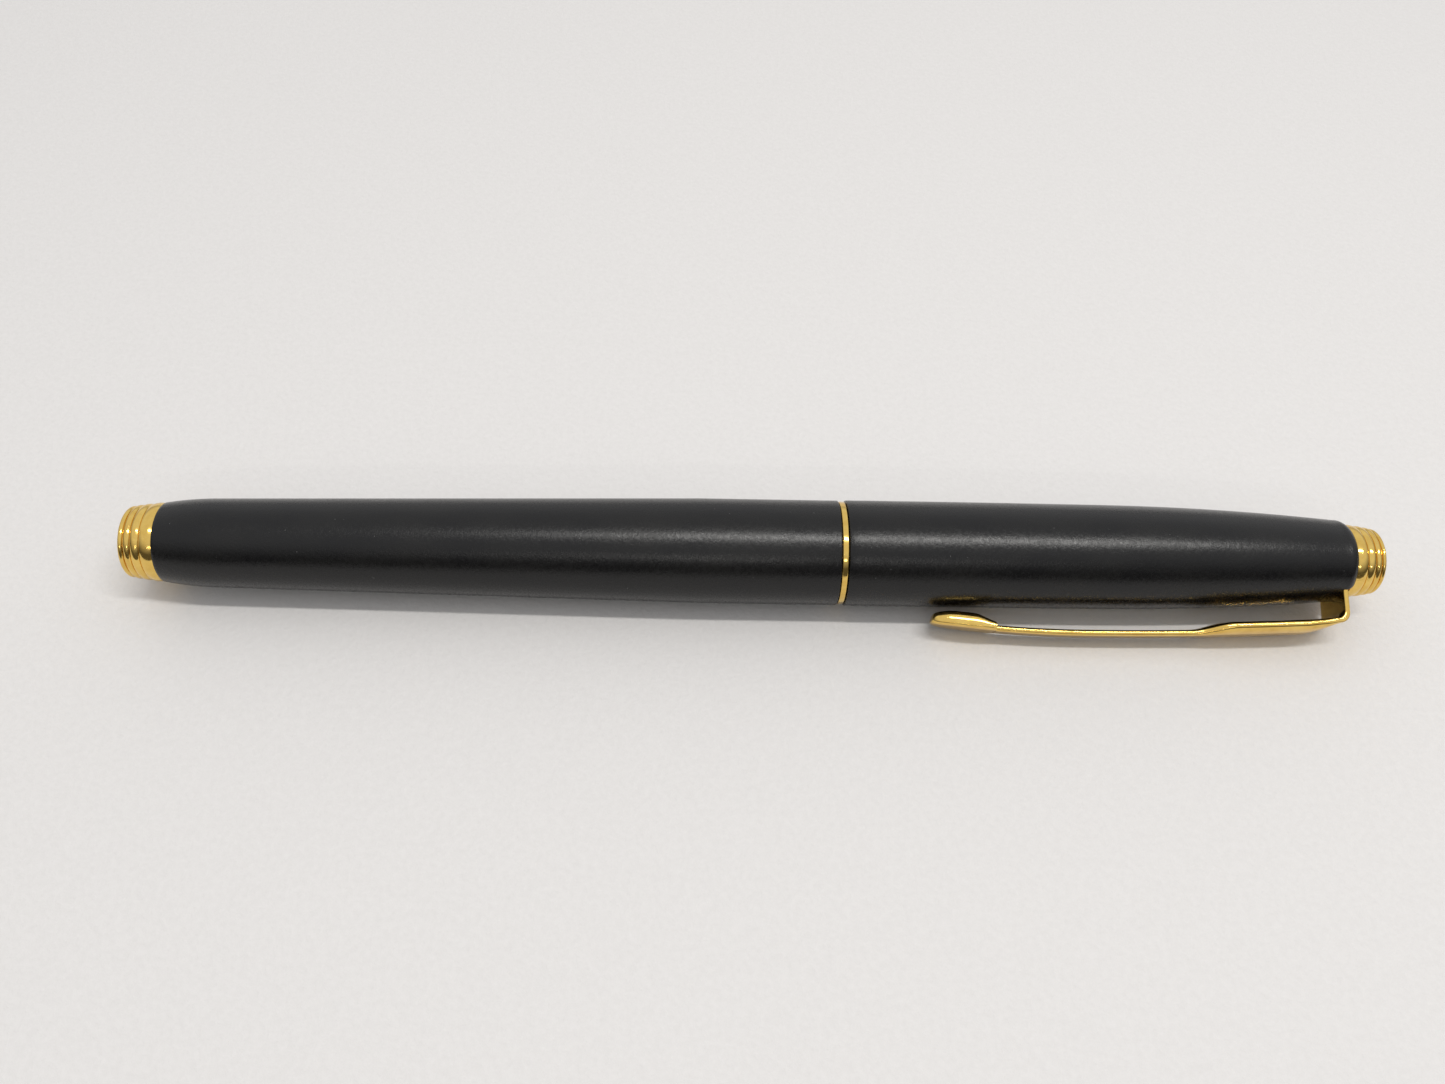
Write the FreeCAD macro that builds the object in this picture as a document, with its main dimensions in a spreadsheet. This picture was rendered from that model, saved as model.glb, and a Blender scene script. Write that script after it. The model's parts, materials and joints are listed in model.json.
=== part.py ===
import FreeCAD, Part
import os
import Sketcher

# A capped rollerball pen lying on its side. The pen's axis is X: the origin is the centre of the
# tail's flat end face and +X runs towards the cap's top. +Z is up, and the clip points to -Y and
# down, so that its edge and the cap's belly touch the surface that the pen lies on.
# Lengths are in millimetres, angles in degrees. "x" cells are stations along the axis from the
# origin; "r" cells are radii.
SIZES = {
    # Whole pen
    "overall_length": 135.0,
    "glue_gap": 0.02,
    "running_gap": 0.05,
    "edge_break": 0.12,
    # Ribbed end caps
    "rib_groove_width": 0.15,
    "rib_groove_depth": 0.2,
    "tail_rib_first": 0.65,
    "tail_rib_growth": 1.23,
    "tail_end_r": 3.85,
    "tail_root_r": 4.26,
    "tail_spigot_r": 1.55,
    "tail_spigot_x": 8.3,
    "cap_rib_first": 0.57,
    "cap_rib_growth": 1.27,
    "cap_end_r": 3.6,
    "cap_root_r": 4.02,
    "cap_boss_r": 3.35,
    # Barrel shell
    "barrel_start_x": 3.67,
    "barrel_start_r": 4.30,
    "barrel_shoulder_bend": 35.0,
    "barrel_shoulder_x": 9.0,
    "barrel_shoulder_r": 4.80,
    "barrel_belly_x": 61.0,
    "barrel_belly_r": 5.70,
    "barrel_mouth_x": 75.95,
    "barrel_end_wall_x": 6.0,
    "barrel_bore_r": 3.85,
    "barrel_bush_x": 67.0,
    "barrel_bush_r": 5.0,
    # Barrel fittings
    "tail_nut_length": 2.5,
    "liner_bore_r": 3.45,
    "thread_bore_r": 4.30,
    "spring_wire_r": 0.2,
    "spring_coil_r": 2.3,
    "spring_turns": 4.5,
    # Trim ring
    "ring_back_x": 76.02,
    "ring_front_x": 76.68,
    "ring_r": 5.60,
    # Grip section and its thread
    "thread_back_x": 69.5,
    "thread_r": 4.25,
    "section_back_x": 76.74,
    "section_spigot_x": 84.0,
    "section_spigot_r": 3.7,
    "section_bore_r": 3.2,
    "section_flange_r": 4.55,
    "section_flange_x": 77.6,
    "section_r": 4.45,
    "snap_groove_x": 83.6,
    "snap_groove_width": 1.4,
    "snap_groove_r": 4.15,
    "snap_ring_r": 4.60,
    "grip_start_x": 86.5,
    "grip_bend": 420.0,
    "grip_end_x": 111.5,
    "grip_end_r": 3.2,
    "nose_seat_x": 105.05,
    "nose_seat_r": 2.75,
    "nose_bore_r": 2.0,
    "nose_step_x": 113.7,
    "nose_tip_bore_r": 1.3,
    "nose_cone_x": 118.9,
    "nose_cone_r": 1.75,
    "nose_end_x": 119.3,
    "nose_end_r": 1.5,
    # Refill
    "refill_back_x": 12.5,
    "refill_flange": 0.4,
    "refill_r": 3.0,
    "refill_bore_r": 2.75,
    "refill_plug_x": 16.0,
    "reservoir_back_x": 17.0,
    "reservoir_front_x": 98.8,
    "reservoir_bore_x": 88.0,
    "wick_bore_r": 0.55,
    "refill_insert_x": 99.0,
    "refill_collar_x": 104.0,
    "refill_shoulder_x": 104.3,
    "refill_neck_x": 105.0,
    "refill_neck_r": 1.9,
    "refill_step_x": 113.0,
    "refill_front_r": 1.2,
    "refill_front_x": 119.3,
    "tip_shank_x": 117.8,
    "tip_shank_r": 0.95,
    "tip_root_r": 1.15,
    "tip_end_x": 122.22,
    "tip_end_r": 0.42,
    "ink_channel_r": 0.25,
    "ball_socket_x": 121.73,
    "ball_x": 122.12,
    "ball_r": 0.35,
    # Cap shell
    "cap_lip_x": 76.75,
    "cap_lip_r": 5.74,
    "cap_belly_bend": 3000.0,
    "cap_taper_x": 104.0,
    "cap_taper_r": 5.72,
    "cap_taper_bend": 298.0,
    "cap_crown_x": 130.6,
    "cap_crown_r": 4.5,
    "cap_crown_bend": 1.2,
    "cap_top_x": 131.63,
    "cap_top_r": 4.1,
    "cap_mouth_bore_r": 4.95,
    "cap_step_x": 106.0,
    "cap_bore_r": 4.0,
    "cap_wall_x": 129.0,
    "washer_x": 130.4,
    "washer_r": 3.45,
    "stud_hole_r": 1.6,
    # Cap fittings
    "clutch_back_x": 77.2,
    "clutch_front_x": 103.5,
    "clutch_bore_r": 4.72,
    "clutch_bump_r": 4.63,
    "clutch_bump_x": 82.2,
    "clutch_bump_width": 0.8,
    "clutch_slot_x": 90.0,
    "clutch_slot_width": 0.7,
    "inner_cap_back_x": 103.6,
    "inner_cap_mouth_r": 3.75,
    "inner_cap_bore_r": 3.62,
    "inner_cap_wall_x": 126.0,
    "inner_cap_end_x": 127.0,
    "stud_head_r": 2.8,
    "stud_r": 1.5,
    "stud_end_x": 133.3,
    "stud_slot_width": 0.7,
    "stud_slot_depth": 0.6,
    # Clip: "rise" cells are distances from the pen's axis
    "clip_roll": 26.0,
    "clip_thickness": 0.75,
    "clip_width": 5.2,
    "clip_edge_rise": 7.75,
    "clip_crown_width": 2.8,
    "clip_crown_rise": 8.95,
    "clip_notch_gap": 0.05,
    "clip_washer_x": 131.0,
    "clip_bend": 1.15,
    "clip_bend_x": 130.0,
    "clip_bend_rise": 7.23,
    "clip_bend_end_rise": 6.1,
    "clip_inner_bend": 0.95,
    "clip_inner_rise": 6.8,
    "clip_shoulder_x": 126.3,
    "clip_shoulder_bend": 8.2,
    "clip_split_x": 128.95,
    "clip_split_rise": 7.66,
    "clip_split_gap": 0.08,
    "clip_apex_x": 102.75,
    "clip_apex_rise": 8.87,
    "clip_root_arch": 440.0,
    "clip_tip_arch": 129.0,
    "clip_tip_x": 86.15,
    "clip_tip_rise": 7.45,
    "clip_heel_x": 88.4,
    "clip_heel_rise": 6.65,
    "clip_heel_bend": 2.9,
    "clip_pad_x": 91.0,
    "clip_pad_rise": 6.5,
    "clip_step_x": 92.9,
    "clip_step_rise": 7.35,
    "clip_shaft_width": 2.5,
    "clip_tip_width": 3.8,
    "clip_point_width": 1.3,
    "clip_spoon_x": 89.5,
    "clip_spoon_bend": 5.0,
    "clip_shaft_x": 93.2,
    "clip_ramp_x": 114.55,
    "clip_flange_x": 118.45,
    "clip_flange_depth": 1.25,
    "clip_plate": 0.6,
    "clip_flange_wall": 0.5,
}

RIB_COUNT = 4
CLUTCH_FINGERS = 6
RIGHT_ANGLE = 90.0
FULL_TURN = 360.0


class Size:
    """A value in millimetres that also keeps its formula in the sheet's cells."""

    def __init__(self, value, formula):
        self.value = float(value)
        self.formula = formula

    def join(self, other, sign, result):
        return Size(result, f"({self.formula} {sign} {as_size(other).formula})")

    def __add__(self, other):
        return self.join(other, "+", self.value + as_size(other).value)

    def __sub__(self, other):
        return self.join(other, "-", self.value - as_size(other).value)

    def __mul__(self, other):
        return self.join(other, "*", self.value * as_size(other).value)

    def __truediv__(self, other):
        return self.join(other, "/", self.value / as_size(other).value)

    def root(self):
        return Size(self.value ** 0.5, f"sqrt({self.formula})")


def as_size(thing):
    if isinstance(thing, Size):
        return thing
    return Size(thing, f"({float(thing)})")


def cell(alias):
    return Size(SIZES[alias], "Sizes." + alias)


doc = FreeCAD.newDocument("RollerballPen")


def fill_sheet():
    sheet = doc.addObject("Spreadsheet::Sheet", "Sizes")
    for row, (alias, value) in enumerate(SIZES.items(), start=1):
        sheet.set(f"A{row}", alias)
        sheet.set(f"B{row}", str(value))
        sheet.setAlias(f"B{row}", alias)
    doc.recompute()


def bind(thing, name, size):
    """Gives a property its value now and its formula for later changes of the sheet."""
    setattr(thing, name, size.value)
    thing.setExpression(name, size.formula)


def new_body(label):
    body = doc.addObject("PartDesign::Body", label)
    body.Label = label
    return body


def new_sketch(body, name, role):
    """An empty sketch on one of the body's own origin planes."""
    sketch = body.newObject("Sketcher::SketchObject", name)
    plane = [feature for feature in body.Origin.OriginFeatures if feature.Role == role][0]
    sketch.AttachmentSupport = [(plane, "")]
    sketch.MapMode = "FlatFace"
    return sketch


def arc_between(start, end, bend, side):
    """A circular arc; side is +1 where it bulges to the left of start-to-end, -1 to the right."""
    chord = end - start
    middle = (start + end) * 0.5
    left = FreeCAD.Vector(-chord.y, chord.x, 0).normalize()
    height = (bend * bend - chord.Length * chord.Length / 4) ** 0.5
    centre = middle - left * (height * side)
    top = centre + left * (bend * side)
    return Part.Arc(start, top, end)


def dimension(sketch, kind, geometry, point, size, name):
    index = sketch.addConstraint(Sketcher.Constraint(kind, -1, 1, geometry, point, size.value))
    sketch.renameConstraint(index, name)
    sketch.setExpression("Constraints." + name, size.formula)


def draw(sketch, corners, bends=None):
    """Adds a closed outline through the corners, each held by its two coordinates.

    bends maps a corner's number to (radius, side) where the edge after it is an arc.
    """
    bends = bends or {}
    points = [FreeCAD.Vector(as_size(a).value, as_size(b).value, 0) for a, b in corners]
    first = sketch.GeometryCount
    ends = []
    for number, start in enumerate(points):
        end = points[(number + 1) % len(points)]
        if number in bends:
            bend, side = bends[number]
            arc = arc_between(start, end, bend.value, side)
            index = sketch.addGeometry(arc, False)
            # A sketch keeps every arc anticlockwise, so one bulging left is stored from its end.
            ends.append((index, 2, 1) if side > 0 else (index, 1, 2))
            radius = sketch.addConstraint(Sketcher.Constraint("Radius", index, bend.value))
            sketch.renameConstraint(radius, f"bend{index}")
            sketch.setExpression(f"Constraints.bend{index}", bend.formula)
        else:
            index = sketch.addGeometry(Part.LineSegment(start, end), False)
            ends.append((index, 1, 2))
    for number, (index, start_point, end_point) in enumerate(ends):
        following, following_start, _ = ends[(number + 1) % len(ends)]
        sketch.addConstraint(Sketcher.Constraint("Coincident", index, end_point, following, following_start))
        along, across = corners[number]
        dimension(sketch, "DistanceX", index, start_point, as_size(along), f"along{first + number}")
        dimension(sketch, "DistanceY", index, start_point, as_size(across), f"across{first + number}")


def turned(label, corners, bends=None):
    """A body turned about the pen's axis from its half outline, given as (x, radius) corners."""
    body = new_body(label)
    sketch = new_sketch(body, label + "_outline", "XZ_Plane")
    draw(sketch, corners, bends)
    revolution = body.newObject("PartDesign::Revolution", label + "_turned")
    revolution.Profile = sketch
    revolution.ReferenceAxis = (sketch, ["H_Axis"])
    revolution.Angle = FULL_TURN
    doc.recompute()
    return body


def tube(label, back, front, bore, outside):
    return turned(label, [(back, bore), (back, outside), (front, outside), (front, bore)])


def pad(body, name, corners, bends, width):
    """Adds a solid of the given width, centred on the clip's middle plane."""
    sketch = new_sketch(body, name + "_outline", "XZ_Plane")
    draw(sketch, corners, bends)
    feature = body.newObject("PartDesign::Pad", name)
    feature.Profile = sketch
    feature.Midplane = True
    bind(feature, "Length", width)
    doc.recompute()
    return feature


def cut(body, name, role, outlines, width=None):
    """Cuts outlines from a body: right through on the sketch's + side, or for a width centred on it."""
    before = body.Shape.Volume
    sketch = new_sketch(body, name + "_outline", role)
    for corners, bends in outlines:
        draw(sketch, corners, bends)
    feature = body.newObject("PartDesign::Pocket", name)
    feature.Profile = sketch
    if width is None:
        feature.Type = "ThroughAll"
        feature.Reversed = True
    else:
        feature.Midplane = True
        bind(feature, "Length", width)
    doc.recompute()
    if body.Shape.Volume >= before:
        raise RuntimeError(name + " cuts nothing")
    return feature


def roll_to_clip(body):
    """Turns a body drawn with the clip at +Z about the pen's axis to the clip's place."""
    angle = cell("clip_roll") + RIGHT_ANGLE
    turn = FreeCAD.Rotation(FreeCAD.Vector(1, 0, 0), angle.value)
    body.Placement = FreeCAD.Placement(FreeCAD.Vector(), turn)
    body.setExpression("Placement.Rotation.Angle", angle.formula)
    return body


def ribs(end_x, seat_x, direction, first_width, growth, end_r, root_r):
    """Outline of the ribbed side of an end cap, from its free end to its seat on the shell."""
    groove = cell("rib_groove_width") * direction
    depth = cell("rib_groove_depth")
    edge = cell("edge_break")
    corners = [(end_x, end_r - edge), (end_x + edge * direction, end_r)]
    x = end_x
    width = first_width
    for rib in range(1, RIB_COUNT):
        x = x + width * direction
        radius = end_r + (root_r - end_r) * (rib / (RIB_COUNT - 1))
        before = end_r + (root_r - end_r) * ((rib - 1) / (RIB_COUNT - 1))
        corners.append((x - groove, before))
        corners.append((x - groove, before - depth))
        corners.append((x, before - depth))
        corners.append((x, radius))
        width = width * growth
    corners.append((seat_x, root_r))
    return corners


# Barrel

def barrel_shell():
    edge = cell("edge_break")
    corners = [
        (cell("barrel_start_x"), cell("stud_hole_r")),
        (cell("barrel_start_x"), cell("barrel_start_r")),
        (cell("barrel_shoulder_x"), cell("barrel_shoulder_r")),
        (cell("barrel_belly_x"), cell("barrel_belly_r")),
        (cell("barrel_mouth_x") - edge, cell("barrel_belly_r")),
        (cell("barrel_mouth_x"), cell("barrel_belly_r") - edge),
        (cell("barrel_mouth_x"), cell("barrel_bush_r")),
        (cell("barrel_bush_x"), cell("barrel_bush_r")),
        (cell("barrel_bush_x"), cell("barrel_bore_r")),
        (cell("barrel_end_wall_x"), cell("barrel_bore_r")),
        (cell("barrel_end_wall_x"), cell("stud_hole_r")),
    ]
    return turned("barrel_shell", corners, {1: (cell("barrel_shoulder_bend"), 1)})


def tail_finial():
    side = ribs(as_size(0), cell("barrel_start_x"), 1, cell("tail_rib_first"), cell("tail_rib_growth"),
                cell("tail_end_r"), cell("tail_root_r"))
    spigot = [
        (cell("barrel_start_x"), cell("tail_spigot_r")),
        (cell("tail_spigot_x"), cell("tail_spigot_r")),
        (cell("tail_spigot_x"), 0),
    ]
    return turned("tail_finial", [(0, 0)] + side + spigot)


def tail_nut():
    back = cell("barrel_end_wall_x")
    outside = cell("barrel_bore_r") - cell("glue_gap")
    return tube("tail_nut", back, back + cell("tail_nut_length"), cell("tail_spigot_r"), outside)


def barrel_liner():
    back = cell("barrel_end_wall_x") + cell("tail_nut_length")
    outside = cell("barrel_bore_r") - cell("glue_gap")
    return tube("barrel_liner", back, cell("barrel_bush_x"), cell("liner_bore_r"), outside)


def barrel_thread_bush():
    front = cell("barrel_mouth_x") - cell("running_gap")
    outside = cell("barrel_bush_r") - cell("glue_gap")
    return tube("barrel_thread_bush", cell("barrel_bush_x"), front, cell("thread_bore_r"), outside)


def refill_spring():
    """A coil of round wire between the tail nut and the refill's rear end."""
    back = cell("barrel_end_wall_x") + cell("tail_nut_length")
    wire = cell("spring_wire_r") + cell("glue_gap")
    body = new_body("refill_spring")
    sketch = new_sketch(body, "refill_spring_wire", "XZ_Plane")
    centre_x = back + wire
    start = FreeCAD.Vector(centre_x.value, cell("spring_coil_r").value, 0)
    circle = Part.Circle(start, FreeCAD.Vector(0, 0, 1), cell("spring_wire_r").value)
    index = sketch.addGeometry(circle, False)
    radius = sketch.addConstraint(Sketcher.Constraint("Radius", index, cell("spring_wire_r").value))
    sketch.renameConstraint(radius, "wire")
    sketch.setExpression("Constraints.wire", cell("spring_wire_r").formula)
    dimension(sketch, "DistanceX", index, 3, centre_x, "along")
    dimension(sketch, "DistanceY", index, 3, cell("spring_coil_r"), "across")
    coil = body.newObject("PartDesign::AdditiveHelix", "refill_spring_coil")
    coil.Profile = sketch
    coil.ReferenceAxis = (sketch, ["H_Axis"])
    coil.Mode = "height-turns-angle"
    bind(coil, "Height", cell("refill_back_x") - back - wire * 2)
    bind(coil, "Turns", cell("spring_turns"))
    doc.recompute()
    return body


def trim_ring():
    edge = cell("edge_break")
    corners = [
        (cell("ring_back_x"), cell("thread_bore_r")),
        (cell("ring_back_x"), cell("ring_r") - edge),
        (cell("ring_back_x") + edge, cell("ring_r")),
        (cell("ring_front_x") - edge, cell("ring_r")),
        (cell("ring_front_x"), cell("ring_r") - edge),
        (cell("ring_front_x"), cell("thread_bore_r")),
    ]
    return turned("trim_ring", corners)


# Grip section

def section_thread():
    neck = cell("section_back_x") - cell("glue_gap")
    spigot = cell("section_spigot_r") - cell("glue_gap")
    corners = [
        (cell("thread_back_x"), cell("section_bore_r")),
        (cell("thread_back_x"), cell("thread_r")),
        (neck, cell("thread_r")),
        (neck, spigot),
        (cell("section_spigot_x") - cell("glue_gap"), spigot),
        (cell("section_spigot_x") - cell("glue_gap"), cell("section_bore_r")),
    ]
    return turned("section_thread", corners)


def grip_section():
    edge = cell("edge_break")
    groove_end = cell("snap_groove_x") + cell("snap_groove_width")
    corners = [
        (cell("section_back_x"), cell("section_spigot_r")),
        (cell("section_back_x"), cell("section_flange_r")),
        (cell("section_flange_x"), cell("section_flange_r")),
        (cell("section_flange_x") + edge, cell("section_r")),
        (cell("snap_groove_x"), cell("section_r")),
        (cell("snap_groove_x"), cell("snap_groove_r")),
        (groove_end, cell("snap_groove_r")),
        (groove_end, cell("section_r")),
        (cell("grip_start_x"), cell("section_r")),
        (cell("grip_end_x"), cell("grip_end_r")),
        (cell("grip_end_x"), cell("nose_seat_r")),
        (cell("nose_seat_x"), cell("nose_seat_r")),
        (cell("nose_seat_x"), cell("section_bore_r")),
        (cell("section_spigot_x"), cell("section_bore_r")),
        (cell("section_spigot_x"), cell("section_spigot_r")),
    ]
    return turned("grip_section", corners, {8: (cell("grip_bend"), -1)})


def snap_ring():
    gap = cell("running_gap")
    edge = cell("edge_break")
    back = cell("snap_groove_x") + gap
    front = cell("snap_groove_x") + cell("snap_groove_width") - gap
    bore = cell("snap_groove_r") + gap
    corners = [
        (back, bore),
        (back, cell("snap_ring_r") - edge),
        (back + edge, cell("snap_ring_r")),
        (front - edge, cell("snap_ring_r")),
        (front, cell("snap_ring_r") - edge),
        (front, bore),
    ]
    return turned("snap_ring", corners)


def nose_cone():
    spigot = cell("nose_seat_r") - cell("glue_gap")
    corners = [
        (cell("nose_seat_x"), cell("nose_bore_r")),
        (cell("nose_seat_x"), spigot),
        (cell("grip_end_x") + cell("glue_gap"), spigot),
        (cell("grip_end_x") + cell("glue_gap"), cell("grip_end_r")),
        (cell("nose_cone_x"), cell("nose_cone_r")),
        (cell("nose_end_x"), cell("nose_end_r")),
        (cell("nose_end_x"), cell("nose_tip_bore_r")),
        (cell("nose_step_x"), cell("nose_tip_bore_r")),
        (cell("nose_step_x"), cell("nose_bore_r")),
    ]
    return turned("nose_cone", corners)


# Refill

def refill_plug():
    flange = cell("refill_back_x") + cell("refill_flange")
    insert = cell("refill_bore_r") - cell("glue_gap")
    corners = [
        (cell("refill_back_x"), 0),
        (cell("refill_back_x"), cell("refill_r")),
        (flange, cell("refill_r")),
        (flange, insert),
        (cell("refill_plug_x"), insert),
        (cell("refill_plug_x"), 0),
    ]
    return turned("refill_plug", corners)


def refill_tube():
    back = cell("refill_back_x") + cell("refill_flange") + cell("glue_gap")
    front = cell("refill_collar_x") - cell("glue_gap")
    return tube("refill_tube", back, front, cell("refill_bore_r"), cell("refill_r"))


def ink_reservoir():
    outside = cell("refill_bore_r") - cell("running_gap")
    corners = [
        (cell("reservoir_back_x"), 0),
        (cell("reservoir_back_x"), outside),
        (cell("reservoir_front_x"), outside),
        (cell("reservoir_front_x"), cell("wick_bore_r")),
        (cell("reservoir_bore_x"), cell("wick_bore_r")),
        (cell("reservoir_bore_x"), 0),
    ]
    return turned("ink_reservoir", corners)


def ink_wick():
    gap = cell("running_gap")
    outside = cell("wick_bore_r") - gap
    back = cell("reservoir_bore_x") + gap
    front = cell("tip_shank_x") - gap
    return turned("ink_wick", [(back, 0), (back, outside), (front, outside), (front, 0)])


def refill_nose():
    insert = cell("refill_bore_r") - cell("glue_gap")
    slope = cell("refill_neck_r") - cell("refill_front_r")
    corners = [
        (cell("refill_insert_x"), cell("wick_bore_r")),
        (cell("refill_insert_x"), insert),
        (cell("refill_collar_x"), insert),
        (cell("refill_collar_x"), cell("refill_r")),
        (cell("refill_shoulder_x"), cell("refill_r")),
        (cell("refill_neck_x"), cell("refill_neck_r")),
        (cell("refill_step_x"), cell("refill_neck_r")),
        (cell("refill_step_x") + slope, cell("refill_front_r")),
        (cell("refill_front_x"), cell("refill_front_r")),
        (cell("refill_front_x"), cell("tip_shank_r")),
        (cell("tip_shank_x"), cell("tip_shank_r")),
        (cell("tip_shank_x"), cell("wick_bore_r")),
    ]
    return turned("refill_nose", corners)


def refill_tip():
    gap = cell("glue_gap")
    shank = cell("tip_shank_r") - gap
    corners = [
        (cell("tip_shank_x"), cell("ink_channel_r")),
        (cell("tip_shank_x"), shank),
        (cell("refill_front_x") + gap, shank),
        (cell("refill_front_x") + gap, cell("tip_root_r")),
        (cell("tip_end_x"), cell("tip_end_r")),
        (cell("tip_end_x"), cell("ball_r") + gap),
        (cell("ball_socket_x"), cell("ball_r") + gap),
        (cell("ball_socket_x"), cell("ink_channel_r")),
    ]
    return turned("refill_tip", corners)


def writing_ball():
    ball = doc.addObject("Part::Sphere", "writing_ball")
    ball.Label = "writing_ball"
    bind(ball, "Radius", cell("ball_r"))
    ball.Placement = FreeCAD.Placement(FreeCAD.Vector(SIZES["ball_x"], 0, 0), FreeCAD.Rotation())
    ball.setExpression("Placement.Base.x", cell("ball_x").formula)
    return ball


# Cap

def cap_shell():
    edge = cell("edge_break")
    corners = [
        (cell("cap_lip_x"), cell("cap_mouth_bore_r")),
        (cell("cap_lip_x"), cell("cap_lip_r") - edge),
        (cell("cap_lip_x") + edge, cell("cap_lip_r")),
        (cell("cap_taper_x"), cell("cap_taper_r")),
        (cell("cap_crown_x"), cell("cap_crown_r")),
        (cell("cap_top_x"), cell("cap_top_r")),
        (cell("cap_top_x"), cell("washer_r")),
        (cell("washer_x"), cell("washer_r")),
        (cell("washer_x"), cell("stud_hole_r")),
        (cell("cap_wall_x"), cell("stud_hole_r")),
        (cell("cap_wall_x"), cell("cap_bore_r")),
        (cell("cap_step_x"), cell("cap_bore_r")),
        (cell("cap_step_x"), cell("cap_mouth_bore_r")),
    ]
    bends = {
        2: (cell("cap_belly_bend"), 1),
        3: (cell("cap_taper_bend"), 1),
        4: (cell("cap_crown_bend"), 1),
    }
    body = turned("cap_shell", corners, bends)
    half = cell("clip_width") / 2 + cell("clip_notch_gap")
    top = cell("cap_top_x") + cell("clip_plate")
    notch = [
        (cell("washer_x"), half * -1),
        (top, half * -1),
        (top, half),
        (cell("washer_x"), half),
    ]
    cut(body, "cap_shell_notch", "XY_Plane", [(notch, None)])
    return roll_to_clip(body)


def cap_finial():
    side = ribs(cell("overall_length"), cell("cap_top_x"), -1, cell("cap_rib_first"), cell("cap_rib_growth"),
                cell("cap_end_r"), cell("cap_root_r"))
    socket = cell("stud_r") + cell("glue_gap")
    base = cell("clip_washer_x")
    inside = [
        (cell("cap_top_x"), cell("cap_boss_r")),
        (base, cell("cap_boss_r")),
        (base, socket),
        (cell("stud_end_x") + cell("running_gap"), socket),
        (cell("stud_end_x") + cell("running_gap"), 0),
    ]
    return turned("cap_finial", [(cell("overall_length"), 0)] + side + inside)


def clip_stud():
    """A slotted screw from inside the cap that clamps the cap's end wall, the clip and the finial."""
    head = cell("inner_cap_end_x") + cell("running_gap")
    corners = [
        (head, 0),
        (head, cell("stud_head_r")),
        (cell("cap_wall_x"), cell("stud_head_r")),
        (cell("cap_wall_x"), cell("stud_r")),
        (cell("stud_end_x"), cell("stud_r")),
        (cell("stud_end_x"), 0),
    ]
    body = turned("clip_stud", corners)
    half = cell("stud_slot_width") / 2
    bottom = head + cell("stud_slot_depth")
    slot = [(head, half * -1), (bottom, half * -1), (bottom, half), (head, half)]
    cut(body, "clip_stud_slot", "XZ_Plane", [(slot, None)], cell("stud_head_r") * 2)
    return body


def cap_clutch():
    """A sleeve of thin metal whose fingers close on the snap ring."""
    bump_end = cell("clutch_bump_x") + cell("clutch_bump_width")
    rise = cell("clutch_bore_r") - cell("clutch_bump_r")
    outside = cell("cap_mouth_bore_r") - cell("glue_gap")
    corners = [
        (cell("clutch_back_x"), cell("clutch_bore_r")),
        (cell("clutch_back_x"), outside),
        (cell("clutch_front_x"), outside),
        (cell("clutch_front_x"), cell("clutch_bore_r")),
        (bump_end + rise, cell("clutch_bore_r")),
        (bump_end, cell("clutch_bump_r")),
        (cell("clutch_bump_x"), cell("clutch_bump_r")),
        (cell("clutch_bump_x") - rise, cell("clutch_bore_r")),
    ]
    body = turned("cap_clutch", corners)
    half = cell("clutch_slot_width") / 2
    back = cell("clutch_back_x") - cell("edge_break")
    slot = [(back, half * -1), (cell("clutch_slot_x"), half * -1), (cell("clutch_slot_x"), half), (back, half)]
    pocket = cut(body, "cap_clutch_slot", "XY_Plane", [(slot, None)])
    axis = [feature for feature in body.Origin.OriginFeatures if feature.Role == "X_Axis"][0]
    pattern = body.newObject("PartDesign::PolarPattern", "cap_clutch_slots")
    pattern.Originals = [pocket]
    pattern.Axis = (axis, [""])
    pattern.Angle = FULL_TURN
    pattern.Occurrences = CLUTCH_FINGERS
    body.Tip = pattern
    doc.recompute()
    return body


def inner_cap():
    """A plastic thimble that closes over the writing tip."""
    flange = cell("cap_mouth_bore_r") - cell("glue_gap")
    outside = cell("cap_bore_r") - cell("glue_gap")
    step = cell("cap_step_x") - cell("glue_gap")
    corners = [
        (cell("inner_cap_back_x"), cell("inner_cap_mouth_r")),
        (cell("inner_cap_back_x"), flange),
        (step, flange),
        (step, outside),
        (cell("inner_cap_end_x"), outside),
        (cell("inner_cap_end_x"), 0),
        (cell("inner_cap_wall_x"), 0),
        (cell("inner_cap_wall_x"), cell("inner_cap_bore_r")),
        (cell("cap_step_x"), cell("inner_cap_bore_r")),
        (cell("cap_step_x"), cell("inner_cap_mouth_r")),
    ]
    return turned("inner_cap", corners)


# Clip

def arch_rise(x, bend):
    """Distance from the pen's axis to the clip's outer face, which arches to its apex."""
    offset = x - cell("clip_apex_x")
    return cell("clip_apex_rise") - bend + (bend * bend - offset * offset).root()


def clip_root():
    """The washer under the finial with the tab that bends round into the clip."""
    back = cell("washer_x")
    front = cell("clip_washer_x")
    body = tube("clip_root", back, front, cell("stud_hole_r"), cell("washer_r") - cell("glue_gap"))
    tab_start = cell("stud_hole_r") + cell("clip_plate")
    inner_bend = cell("clip_inner_bend")
    inner_rise = cell("clip_inner_rise")
    corners = [
        (back, tab_start),
        (back, inner_rise - inner_bend),
        (back - inner_bend, inner_rise),
        (cell("clip_split_x"), inner_rise),
        (cell("clip_split_x"), cell("clip_split_rise")),
        (cell("clip_bend_x"), cell("clip_bend_rise")),
        (front, cell("clip_bend_end_rise")),
        (front, tab_start),
    ]
    bends = {1: (inner_bend, -1), 5: (cell("clip_bend"), 1)}
    pad(body, "clip_root_tab", corners, bends, cell("clip_width"))
    return roll_to_clip(body)


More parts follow.
